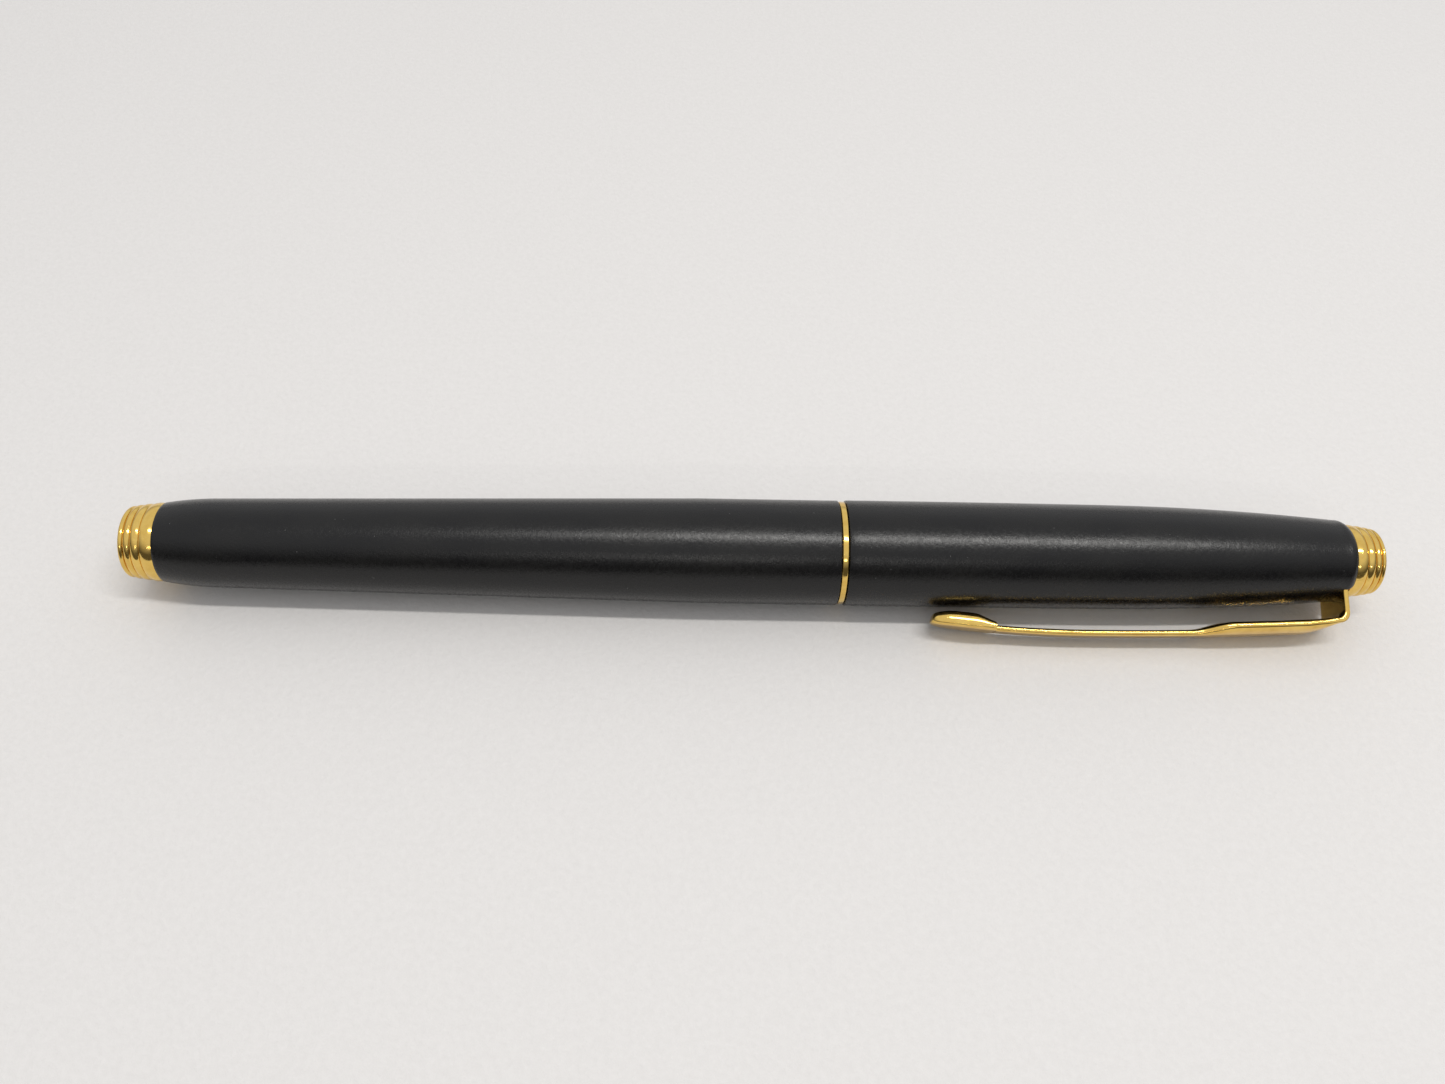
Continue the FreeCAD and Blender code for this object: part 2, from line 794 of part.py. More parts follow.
def clip_arm():
    """The sprung arm: a narrow shaft, a wide tip that nears the cap, a wide flanged upper end."""
    root_bend = cell("clip_root_arch")
    tip_bend = cell("clip_tip_arch")
    thickness = cell("clip_thickness")
    root = cell("clip_split_x") - cell("clip_split_gap")
    apex = cell("clip_apex_x")
    depth = cell("clip_flange_depth")
    shoulder = cell("clip_shoulder_x")
    silhouette = [
        (cell("clip_tip_x"), cell("clip_tip_rise")),
        (cell("clip_tip_x"), arch_rise(cell("clip_tip_x"), tip_bend)),
        (apex, cell("clip_apex_rise")),
        (shoulder, arch_rise(shoulder, root_bend)),
        (root, cell("clip_split_rise")),
        (root, arch_rise(root, root_bend) - depth),
        (cell("clip_flange_x"), arch_rise(cell("clip_flange_x"), root_bend) - depth),
        (cell("clip_ramp_x"), arch_rise(cell("clip_ramp_x"), root_bend) - thickness),
        (apex, cell("clip_apex_rise") - thickness),
        (cell("clip_shaft_x"), arch_rise(cell("clip_shaft_x"), tip_bend) - thickness),
        (cell("clip_step_x"), cell("clip_step_rise")),
        (cell("clip_pad_x"), cell("clip_pad_rise")),
        (cell("clip_heel_x"), cell("clip_heel_rise")),
    ]
    bends = {
        1: (tip_bend, 1),
        2: (root_bend, 1),
        3: (cell("clip_shoulder_bend"), 1),
        5: (root_bend, -1),
        7: (root_bend, -1),
        8: (tip_bend, -1),
        12: (cell("clip_heel_bend"), 1),
    }
    body = new_body("clip_arm")
    pad(body, "clip_arm_side", silhouette, bends, cell("clip_width"))
    cut(body, "clip_arm_face", "XY_Plane", [face_side(1), face_side(-1)])
    cut(body, "clip_arm_crown", "YZ_Plane", [crown_side(1), crown_side(-1)])
    inside = arch_rise(shoulder, root_bend) - cell("clip_plate")
    channel_end = arch_rise(cell("clip_flange_x"), root_bend) - cell("clip_plate")
    below = depth * 2
    channel = [
        (shoulder, inside),
        (shoulder, inside - below),
        (cell("clip_flange_x"), channel_end - below),
        (cell("clip_flange_x"), channel_end),
    ]
    width = cell("clip_width") - cell("clip_flange_wall") * 2
    cut(body, "clip_arm_channel", "XZ_Plane", [(channel, {3: (root_bend, 1)})], width)
    return roll_to_clip(body)


def face_side(side):
    """What is cut away beside the clip on one side, to leave its outline as seen from outside."""
    outside = cell("clip_width") * side
    point = cell("clip_point_width") / 2 * side
    tip = cell("clip_tip_width") / 2 * side
    shaft = cell("clip_shaft_width") / 2 * side
    wide = cell("clip_width") / 2 * side
    before_tip = cell("clip_tip_x") - cell("edge_break")
    corners = [
        (before_tip, outside),
        (before_tip, point),
        (cell("clip_spoon_x"), tip),
        (cell("clip_step_x"), tip),
        (cell("clip_shaft_x"), shaft),
        (cell("clip_ramp_x"), shaft),
        (cell("clip_flange_x"), wide),
        (cell("clip_flange_x"), outside),
    ]
    return corners, {1: (cell("clip_spoon_bend"), side)}


def crown_side(side):
    """What is cut from one outer edge of the wide end, seen along the pen, to crown its face."""
    edge = cell("clip_width") / 2 * side
    beyond = cell("clip_width") * side
    crown = cell("clip_crown_width") / 2 * side
    above = cell("clip_crown_rise")
    corners = [(edge, cell("clip_edge_rise")), (crown, above), (beyond, above), (beyond, cell("clip_edge_rise"))]
    return corners, None


def check_document(subparts):
    for thing in doc.Objects:
        if "Invalid" in thing.State or "Error" in thing.State:
            raise RuntimeError(thing.Name + " failed: " + ", ".join(thing.State))
    for part in subparts:
        if part.Shape.isNull() or not part.Shape.isValid():
            raise RuntimeError(part.Label + " has no valid shape")
        if len(part.Shape.Solids) != 1:
            raise RuntimeError(part.Label + " isn't one solid")


def main():
    fill_sheet()
    makers = [
        barrel_shell, tail_finial, tail_nut, barrel_liner, barrel_thread_bush, refill_spring,
        trim_ring,
        section_thread, grip_section, snap_ring, nose_cone,
        refill_plug, refill_tube, ink_reservoir, ink_wick, refill_nose, refill_tip, writing_ball,
        cap_shell, cap_finial, clip_stud, cap_clutch, inner_cap,
        clip_root, clip_arm,
    ]
    subparts = [maker() for maker in makers]
    doc.recompute()
    check_document(subparts)
    os.makedirs("parts", exist_ok=True)
    for part in subparts:
        part.Shape.exportStep("parts/" + part.Label + ".step")
        print(f"{part.Label}: {part.Shape.Volume:.3f} mm3")


main()
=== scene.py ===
import json
import math

import bmesh
import bpy
from mathutils import Matrix, Vector


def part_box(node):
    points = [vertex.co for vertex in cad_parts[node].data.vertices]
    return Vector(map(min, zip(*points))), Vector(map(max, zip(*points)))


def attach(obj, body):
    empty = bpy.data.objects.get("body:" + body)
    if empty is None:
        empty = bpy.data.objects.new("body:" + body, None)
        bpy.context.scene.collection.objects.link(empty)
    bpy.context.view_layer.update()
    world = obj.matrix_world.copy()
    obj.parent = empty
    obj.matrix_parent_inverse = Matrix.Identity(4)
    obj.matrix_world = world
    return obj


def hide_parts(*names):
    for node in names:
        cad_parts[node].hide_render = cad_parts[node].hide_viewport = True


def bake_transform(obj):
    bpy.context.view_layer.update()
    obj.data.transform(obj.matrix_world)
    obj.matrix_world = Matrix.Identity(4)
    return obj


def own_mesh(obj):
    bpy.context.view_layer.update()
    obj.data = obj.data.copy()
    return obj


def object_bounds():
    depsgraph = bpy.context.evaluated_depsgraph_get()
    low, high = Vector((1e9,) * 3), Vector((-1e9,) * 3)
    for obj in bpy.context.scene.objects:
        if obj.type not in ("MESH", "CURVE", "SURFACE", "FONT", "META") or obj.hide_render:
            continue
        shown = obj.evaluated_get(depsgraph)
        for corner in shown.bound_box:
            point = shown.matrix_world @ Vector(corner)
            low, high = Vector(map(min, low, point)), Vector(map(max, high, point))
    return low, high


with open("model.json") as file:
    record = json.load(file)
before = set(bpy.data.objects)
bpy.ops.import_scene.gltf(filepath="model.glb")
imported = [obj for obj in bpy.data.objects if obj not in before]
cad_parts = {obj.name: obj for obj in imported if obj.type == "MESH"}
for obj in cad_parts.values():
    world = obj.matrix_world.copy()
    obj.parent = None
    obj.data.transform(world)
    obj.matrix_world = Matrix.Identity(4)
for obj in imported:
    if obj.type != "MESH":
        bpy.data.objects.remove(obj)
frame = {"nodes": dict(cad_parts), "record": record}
cad_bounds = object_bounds()

# Outlines are (x, radius) points in millimetres, x along the pen's axis from the tail's end.
MM = 0.001
SEGMENTS = 192
GOLDEN = (0.86, 0.60, 0.17)


def mm_box(node):
    low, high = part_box(node)
    return low / MM, high / MM


PEN_LENGTH = mm_box("cap_finial")[1].x
BARREL_BACK = mm_box("barrel_shell")[0].x
BARREL_MOUTH = mm_box("barrel_shell")[1].x
BELLY_R = mm_box("barrel_shell")[1].z
CAP_LIP = mm_box("cap_shell")[0].x
CAP_TOP = mm_box("cap_shell")[1].x
CLIP_ROLL = math.radians(26.0)
CLIP_OUT = Vector((0, -math.cos(CLIP_ROLL), -math.sin(CLIP_ROLL)))
CLIP_SIDE = Vector((0, -math.sin(CLIP_ROLL), math.cos(CLIP_ROLL)))
CLIP_WIDTH = 5.2
CLIP_PLATE = 0.6
WASHER_BACK = 130.4
WASHER_FRONT = 131.0
THREAD_PITCH = 1.0


# Outline helpers

def fillet(points, size, closed_loop=True):
    """Rounds an outline's corners; size is the length taken off each side of a corner."""
    count = len(points)
    rounded = []
    for number, point in enumerate(points):
        here = Vector(point)
        before = Vector(points[number - 1]) - here
        after = Vector(points[(number + 1) % count]) - here
        at_end = not closed_loop and number in (0, count - 1)
        if at_end or before.angle(after) > math.radians(165):
            rounded.append(point)
            continue
        start = here + before.normalized() * min(size, before.length * 0.45)
        end = here + after.normalized() * min(size, after.length * 0.45)
        for step in range(5):
            share = step / 4
            rounded.append(tuple(start.lerp(here, share).lerp(here.lerp(end, share), share)))
    return rounded


def arc_steps(start, end, bend, side, steps):
    """Points after start up to end on a circular arc; side +1 bulges left of start-to-end."""
    a = Vector(start)
    b = Vector(end)
    chord = b - a
    left = Vector((-chord.y, chord.x)).normalized()
    height = math.sqrt(max(bend * bend - chord.length_squared / 4, 0))
    centre = (a + b) / 2 - left * (height * side)
    first = a - centre
    sweep = first.angle_signed(b - centre)
    points = []
    for step in range(1, steps + 1):
        angle = -sweep * step / steps
        x = first.x * math.cos(angle) - first.y * math.sin(angle)
        y = first.x * math.sin(angle) + first.y * math.cos(angle)
        points.append(tuple(centre + Vector((x, y))))
    return points


def line_steps(start, end, steps):
    """Points after start up to end on a straight line."""
    a = Vector(start)
    b = Vector(end)
    return [tuple(a.lerp(b, step / steps)) for step in range(1, steps + 1)]


def smooth_step(value, low, high):
    share = min(max((value - low) / (high - low), 0), 1)
    return share * share * (3 - 2 * share)


# Mesh helpers

def finished(name, build, sharp_angle=38):
    """Puts the built mesh into the scene, smooth except where faces meet at a sharp angle."""
    bmesh.ops.recalc_face_normals(build, faces=build.faces)
    mesh = bpy.data.meshes.new(name)
    build.to_mesh(mesh)
    build.free()
    mesh.polygons.foreach_set("use_smooth", [True] * len(mesh.polygons))
    mesh.set_sharp_from_angle(angle=math.radians(sharp_angle))
    piece = bpy.data.objects.new(name, mesh)
    bpy.context.scene.collection.objects.link(piece)
    return piece


def bridge(build, low, high):
    """Joins two rings of vertices, either of which may be a single point."""
    count = max(len(low), len(high))
    for step in range(count):
        following = (step + 1) % count
        if len(low) == 1:
            corners = (low[0], high[step], high[following])
        elif len(high) == 1:
            corners = (low[step], low[following], high[0])
        else:
            corners = (low[step], low[following], high[following], high[step])
        build.faces.new(corners)


def ring_at(build, x, radius, depth=0.0):
    """A ring of vertices about the axis; depth is how far a screw thread's grooves cut into it."""
    if radius < 1e-5:
        return [build.verts.new((x * MM, 0, 0))]
    ring = []
    for step in range(SEGMENTS):
        turn = step / SEGMENTS
        local = radius
        if depth:
            phase = (x / THREAD_PITCH - turn) % 1.0
            local -= depth * smooth_step(abs(phase - 0.5) * 2, 0.25, 0.85)
        angle = math.tau * turn
        place = (x * MM, local * MM * math.cos(angle), local * MM * math.sin(angle))
        ring.append(build.verts.new(place))
    return ring


def turn_outline(build, outline, closed_loop):
    rings = [ring_at(build, *point) for point in outline]
    pairs = list(zip(rings, rings[1:]))
    if closed_loop:
        pairs.append((rings[-1], rings[0]))
    for low, high in pairs:
        if len(low) > 1 or len(high) > 1:
            bridge(build, low, high)


def lathe(name, outline, closed_loop=True):
    """Turns an outline about the pen's axis. One that starts and ends on the axis isn't closed."""
    build = bmesh.new()
    turn_outline(build, outline, closed_loop)
    return finished(name, build)


# Barrel

def barrel_skin():
    shoulder = (9.0, 4.80)
    belly = (61.0, BELLY_R)
    outline = [(BARREL_BACK, 1.6), (BARREL_BACK, 4.24), (BARREL_BACK + 0.06, 4.305)]
    outline += arc_steps(outline[-1], shoulder, 35.0, 1, 20)
    outline += line_steps(shoulder, belly, 40)
    mouth = [(BARREL_MOUTH, BELLY_R), (BARREL_MOUTH, 5.0), (67.0, 5.0), (67.0, 3.85)]
    inside = mouth + [(6.0, 3.85), (6.0, 1.6)]
    rounded = fillet([belly] + inside, 0.12, False)
    return lathe("barrel_skin", outline + rounded[1:])


def rib_profile(end_x, seat_x, direction, first_width, growth, end_r, root_r):
    """Four softly crowned ribs with narrow grooves between them, from the free end to the seat."""
    groove = 0.16
    depth = 0.2
    crown = 0.13
    count = 4
    edges = [end_x]
    width = first_width
    for _ in range(count - 1):
        edges.append(edges[-1] + width * direction)
        width *= growth
    edges.append(seat_x)
    outline = []
    for rib in range(count):
        last = rib == count - 1
        start = edges[rib]
        stop = edges[rib + 1] - (0 if last else groove * direction)
        level = end_r + (root_r - end_r) * rib / (count - 1)
        for step in range(11):
            across = 2 * step / 10 - 1
            drop = crown * abs(across) ** 2.2
            outline.append((start + (stop - start) * step / 10, level - drop))
        if not last:
            outline.append((stop + 0.03 * direction, level - depth))
            outline.append((edges[rib + 1] - 0.03 * direction, level - depth))
    return outline


def tail_ribs():
    side = rib_profile(0.0, BARREL_BACK, 1, 0.65, 1.23, 3.85, 4.26)
    face = [(0.10, 0.0), (0.10, 3.05), (0.03, 3.25), (0.0, 3.45), (0.0, 3.62), (0.02, 3.74)]
    spigot = [(BARREL_BACK, 1.55), (8.3, 1.55), (8.3, 0.0)]
    return lathe("tail_ribs", face + side[1:] + spigot, False)


def threaded(start, stop, radius, depth):
    """Outline rows for a stretch of screw thread that fades out at both ends."""
    rows = []
    steps = round((stop - start) / THREAD_PITCH * 10)
    for step in range(steps + 1):
        x = start + (stop - start) * step / steps
        fade = min(smooth_step(x, start, start + 0.8), 1 - smooth_step(x, stop - 0.6, stop))
        rows.append((x, radius, depth * fade))
    return rows


def bush_thread():
    """The brass bush glued in the barrel's mouth; its thread is cut outwards into its bore."""
    low, high = mm_box("barrel_thread_bush")
    outside = [(low.x, 4.3), (low.x, high.z), (high.x, high.z), (high.x, 4.36), (high.x - 0.06, 4.3)]
    bore = threaded(low.x + 0.5, high.x - 0.4, 4.3, -0.3)
    return lathe("bush_thread", outside + bore[::-1])


# Trim, section and snap ring

def trim_band():
    low, high = mm_box("trim_ring")
    outline = [(low.x, 4.3), (low.x, high.z), (high.x, high.z), (high.x, 4.3)]
    return lathe("trim_band", fillet(outline, 0.14))


def section_screw():
    neck = 76.72
    back = 69.5
    crest = mm_box("section_thread")[1].z
    front = [(neck, 4.25), (neck, 3.68), (83.98, 3.68), (83.98, 3.2), (back, 3.2)]
    lead_in = [(back, 3.85), (back + 0.25, 4.0)]
    thread = threaded(back + 0.6, neck - 0.9, crest, 0.3)
    return lathe("section_screw", lead_in + thread + front)


def grip_skin():
    groove_back = 83.6
    groove_front = 85.0
    seat = 105.05
    end = (111.5, 3.2)
    shell = [(76.74, 3.7), (76.74, 4.55), (77.6, 4.55), (77.72, 4.45), (groove_back, 4.45)]
    shell += [(groove_back, 4.15), (groove_front, 4.15), (groove_front, 4.45), (86.5, 4.45)]
    outline = fillet(shell, 0.06, False)
    outline += arc_steps((86.5, 4.45), (end[0] - 0.08, 3.21), 420.0, -1, 40)
    outline += [(end[0], end[1] - 0.08), (end[0], 2.75), (seat, 2.75)]
    outline += [(seat, 3.2), (84.0, 3.2), (84.0, 3.7)]
    return lathe("grip_skin", outline)


def snap_band():
    low, high = mm_box("snap_ring")
    outline = [(low.x, 4.2), (low.x, high.z), (high.x, high.z), (high.x, 4.2)]
    return lathe("snap_band", fillet(outline, 0.2))


def nose_skin():
    low, high = mm_box("nose_cone")
    back = 111.52
    bead = [(back, 2.73), (back, 3.14), (back + 0.06, 3.2), (back + 0.5, 3.2), (back + 0.62, 3.1)]
    cone = line_steps(bead[-1], (118.7, 1.76), 24)
    end = [(high.x - 0.1, 1.62), (high.x, 1.5), (high.x, 1.3), (113.7, 1.3), (113.7, 2.0)]
    return lathe("nose_skin", [(low.x, 2.0), (low.x, 2.73)] + bead + cone + end)


# Refill

def spring_coil():
    """The refill's spring: round wire wound into an open coil."""
    low, high = mm_box("refill_spring")
    wire = 0.2
    coil = 2.3
    turns = 4.5
    steps = 216
    around = 14
    rise = high.x - low.x - 2 * wire
    along = Vector((1, 0, 0))
    build = bmesh.new()
    rings = []
    for step in range(steps + 1):
        share = step / steps
        angle = math.tau * turns * share
        radial = Vector((0, math.sin(angle), math.cos(angle)))
        middle = Vector((low.x + wire + rise * share, 0, 0)) + radial * coil
        ring = []
        for corner in range(around):
            turn = math.tau * corner / around
            offset = radial * math.cos(turn) + along * math.sin(turn)
            ring.append(build.verts.new((middle + offset * wire) * MM))
        rings.append(ring)
    for before, after in zip(rings, rings[1:]):
        bridge(build, before, after)
    build.faces.new(rings[0])
    build.faces.new(rings[-1])
    return finished("spring_coil", build)


def refill_sleeve():
    """The refill's metal tube, with the two crimps that hold its plug and its nose."""
    low, high = mm_box("refill_tube")
    radius = high.z
    outline = [(low.x, 2.75), (low.x, radius)]
    for middle in (low.x + 1.8, high.x - 2.4):
        for step in range(9):
            share = step / 4 - 1
            outline.append((middle + share * 0.45, radius - 0.12 * math.cos(share * math.pi / 2) ** 2))
    outline += [(high.x, radius), (high.x, 2.75)]
    return lathe("refill_sleeve", outline)


def refill_front():
    """The refill's plastic nose: a collar, a neck with moulded rings, and a narrow front."""
    low, high = mm_box("refill_nose")
    collar = [(low.x, 0.55), (low.x, 2.73), (104.0, 2.73), (104.0, 3.0), (104.3, 3.0), (105.0, 1.9)]
    outline = fillet(collar, 0.05, False)
    for ring in range(3):
        start = 106.4 + ring * 1.6
        outline += [(start, 1.9), (start + 0.08, 1.8), (start + 0.3, 1.8), (start + 0.38, 1.9)]
    shoulder = [(112.9, 1.9), (113.0, 1.87), (113.7, 1.2), (high.x - 0.06, 1.2), (high.x, 1.14)]
    return lathe("refill_front", outline + shoulder + [(high.x, 0.95), (117.8, 0.95), (117.8, 0.55)])


def refill_point():
    """The turned metal point that holds the ball."""
    low, high = mm_box("refill_tip")
    cone = arc_steps((119.9, 1.12), (high.x - 0.12, 0.47), 9.0, -1, 14)
    lip = [(high.x, 0.42), (high.x, 0.37), (121.73, 0.37), (121.73, 0.25)]
    outline = [(low.x, 0.25), (low.x, 0.93), (119.32, 0.93), (119.32, 1.1), (119.4, 1.15), (119.8, 1.15)]
    return lathe("refill_point", outline + cone + lip)


# Cap

def cap_profile():
    taper = (104.0, 5.72)
    crown = (130.6, 4.5)
    outline = [(CAP_LIP, 4.95), (CAP_LIP, 5.60), (CAP_LIP + 0.04, 5.70), (CAP_LIP + 0.14, 5.742)]
    outline += arc_steps(outline[-1], taper, 3000.0, 1, 24)
    outline += arc_steps(taper, crown, 298.0, 1, 40)
    outline += arc_steps(crown, (CAP_TOP, 4.1), 1.2, 1, 8)
    outline += [(CAP_TOP, 3.45), (WASHER_BACK, 3.45), (WASHER_BACK, 1.6), (129.0, 1.6), (129.0, 4.0)]
    return outline + [(106.0, 4.0), (106.0, 4.95)]


def cap_skin():
    """The cap's shell, with the notch in its crown that the clip comes out of."""
    piece = lathe("cap_skin", cap_profile())
    build = bmesh.new()
    half = CLIP_WIDTH / 2 + 0.05
    corners = []
    for x in (WASHER_BACK, CAP_TOP + 1.0):
        for rise in (2.0, 6.5):
            for side in (-half, half):
                place = Vector((x, 0, 0)) + CLIP_OUT * rise + CLIP_SIDE * side
                corners.append(build.verts.new(place * MM))
    for face in ((0, 1, 3, 2), (4, 5, 7, 6), (0, 1, 5, 4), (2, 3, 7, 6), (0, 2, 6, 4), (1, 3, 7, 5)):
        build.faces.new([corners[number] for number in face])
    cutter = finished("cap_notch_cutter", build)
    notch = piece.modifiers.new("notch", "BOOLEAN")
    notch.operation = "DIFFERENCE"
    notch.object = cutter
    notch.solver = "EXACT"
    shape = piece.evaluated_get(bpy.context.evaluated_depsgraph_get())
    mesh = bpy.data.meshes.new_from_object(shape)
    piece.modifiers.clear()
    piece.data = mesh
    mesh.set_sharp_from_angle(angle=math.radians(38))
    bpy.data.objects.remove(cutter)
    return piece


def cap_ribs():
    side = rib_profile(PEN_LENGTH, CAP_TOP, -1, 0.57, 1.27, 3.6, 4.02)
    end = PEN_LENGTH
    face = [(end - 0.1, 0.0), (end - 0.1, 2.8), (end - 0.03, 3.0)]
    face += [(end, 3.2), (end, 3.34), (end - 0.02, 3.44)]
    inside = [(CAP_TOP, 3.35), (WASHER_FRONT, 3.35), (WASHER_FRONT, 1.52), (133.35, 1.52), (133.35, 0.0)]
    return lathe("cap_ribs", face + side[1:] + inside, False)


# Clip. A station of it is a cross-section: its outer and inner points in the clip's middle plane,
# as (x, distance from the pen's axis), its half width, how far its outer face is crowned, how
# square its inner side is, and how deep that side is hollowed.

APEX = (102.75, 8.87)
TIP_ARCH = 129.0
ROOT_ARCH = 440.0
SHAFT_HALF = 1.25
SHAFT_DEPTH = 0.75
FLANGE_DEPTH = 1.5
CROWN_DEPTH = 0.85
RAMP = (114.4, 118.9)
SHOULDER_X = 126.3


def clip_arch(x):
    """Distance from the pen's axis to the clip's outer face."""
    bend = TIP_ARCH if x < APEX[0] else ROOT_ARCH
    return APEX[1] - bend + math.sqrt(bend * bend - (x - APEX[0]) ** 2)


def boat_stations():
    """The wide end: a blunt boat, nearly flat outside and keeled towards the cap."""
    back = 86.15
    front = 92.95
    nose_length = 0.4
    bow_length = 3.1
    stations = []
    steps = 36
    for step in range(steps + 1):
        share = (1 - math.cos(math.pi * step / steps)) / 2
        x = back + 0.01 + (front - back - 0.01) * share
        nose = math.sqrt(max(1 - (1 - min((x - back) / nose_length, 1)) ** 2, 0.02))
        bow = math.sqrt(max(1 - (1 - min((x - back) / bow_length, 1)) ** 2, 0))
        depth = (0.7 + 1.14 * bow - 0.78 * smooth_step(x, 90.7, front + 0.4)) * nose
        outer = clip_arch(x) - 0.3 * (1 - bow) ** 2
        half = 0.5 + 1.35 * bow
        stations.append(((x, outer), (x, outer - depth), half, 0.42, 3.2, 0.0))
    return stations


def shaft_stations():
    """The narrow shaft and the ramp up to the wide flanged end, whose face is crowned."""
    stations = []
    start = 93.0
    steps = 64
    for step in range(steps + 1):
        x = start + (SHOULDER_X - start) * step / steps
        wide = smooth_step(x, *RAMP)
        flange = smooth_step(x, RAMP[0] - 0.3, RAMP[1] - 0.5)
        half = SHAFT_HALF + (CLIP_WIDTH / 2 - SHAFT_HALF) * wide
        depth = SHAFT_DEPTH + (FLANGE_DEPTH - SHAFT_DEPTH) * flange
        crown = 0.34 + (CROWN_DEPTH - 0.34) * wide
        hollow = (FLANGE_DEPTH - CLIP_PLATE) * smooth_step(x, RAMP[1] - 1.4, RAMP[1] + 0.6)
        outer = clip_arch(x)
        stations.append(((x, outer), (x, outer - depth), half, crown, 3.0, hollow))
    return stations


def bend_stations():
    """The shoulder, the bend and the tab that goes in under the cap's end piece."""
    split = (128.95, 7.66)
    corner = (130.0, 7.23)
    outer = arc_steps((SHOULDER_X, clip_arch(SHOULDER_X)), split, 8.2, 1, 10)
    outer += line_steps(split, corner, 4)
    outer += arc_steps(corner, (WASHER_FRONT, 6.1), 1.15, 1, 10)
    outer += line_steps((WASHER_FRONT, 6.1), (WASHER_FRONT, 2.4), 6)
    inner = line_steps((SHOULDER_X, clip_arch(SHOULDER_X) - FLANGE_DEPTH), (split[0], 6.62), 10)
    inner += line_steps((split[0], 6.62), (129.55, 6.6), 4)
    inner += arc_steps((129.55, 6.6), (WASHER_BACK, 5.75), 0.85, 1, 10)
    inner += line_steps((WASHER_BACK, 5.75), (WASHER_BACK, 2.4), 6)
    stations = []
    for number, (out, into) in enumerate(zip(outer, inner)):
        hollow = (FLANGE_DEPTH - CLIP_PLATE) * (1 - smooth_step(number, 0, 7))
        crown = CROWN_DEPTH - (CROWN_DEPTH - 0.12) * smooth_step(number, 2, 17)
        square = 3.0 + 4.0 * smooth_step(number, 4, 17)
        stations.append((out, into, CLIP_WIDTH / 2, crown, square, hollow))
    return stations


def clip_section(build, outer, inner, half, crown, square, hollow):
    """Vertices round one station: the crowned outer face first, then the side that faces the cap."""
    out = Vector((outer[0], 0, 0)) + CLIP_OUT * outer[1]
    into = Vector((inner[0], 0, 0)) + CLIP_OUT * inner[1]
    thick = out - into
    belt = out - thick.normalized() * min(crown, thick.length * 0.7)
    bulge = 1.1 + 0.9 / crown
    ring = []
    outer_steps = 40
    inner_steps = 72
    wall = 0.5
    for step in range(outer_steps):
        angle = math.pi * step / outer_steps
        across = math.cos(angle)
        level = (1 - abs(across) ** bulge) ** (1 / min(bulge, 6))
        place = belt + (out - belt) * level + CLIP_SIDE * (half * across)
        ring.append(build.verts.new(place * MM))
    for step in range(inner_steps):
        angle = math.pi * step / inner_steps
        across = -math.copysign(abs(math.cos(angle)) ** (2 / square), math.cos(angle))
        level = abs(math.sin(angle)) ** (2 / square)
        recess = hollow * smooth_step(half - wall - abs(half * across), 0.0, 0.22)
        place = belt + (into - belt) * level + CLIP_SIDE * (half * across)
        place += thick.normalized() * recess
        ring.append(build.verts.new(place * MM))
    return ring


def clip_strip():
    """The whole stamped clip: boat, shaft, flanged end, bend, tab, and the washer it ends in."""
    build = bmesh.new()
    boat = [clip_section(build, *station) for station in boat_stations()]
    shaft = [clip_section(build, *station) for station in shaft_stations()]
    bend = [clip_section(build, *station) for station in bend_stations()]
    for rings in (boat, shaft + bend):
        for low, high in zip(rings, rings[1:]):
            bridge(build, low, high)
        build.faces.new(rings[0])
        build.faces.new(rings[-1])
    outline = [(WASHER_BACK, 1.6), (WASHER_BACK, 3.43), (WASHER_FRONT, 3.43), (WASHER_FRONT, 1.6)]
    turn_outline(build, fillet(outline, 0.04), True)
    piece = finished("clip_strip", build, 50)
    mark_brushed_painted_shade(piece)
    return piece


def mark_brushed_painted_shade(piece):
    """Gives the faces that look outwards from the pen the second material: brushed, with a darker base
    colour that is painted shade.
    """
    bend_x = 130.2
    tab_rise = 6.9
    for face in piece.data.polygons:
        place = face.center / MM
        looks_out = face.normal.dot(CLIP_OUT) > 0.8
        if looks_out and place.x < bend_x and place.dot(CLIP_OUT) > tab_rise:
            face.material_index = 1


# Materials

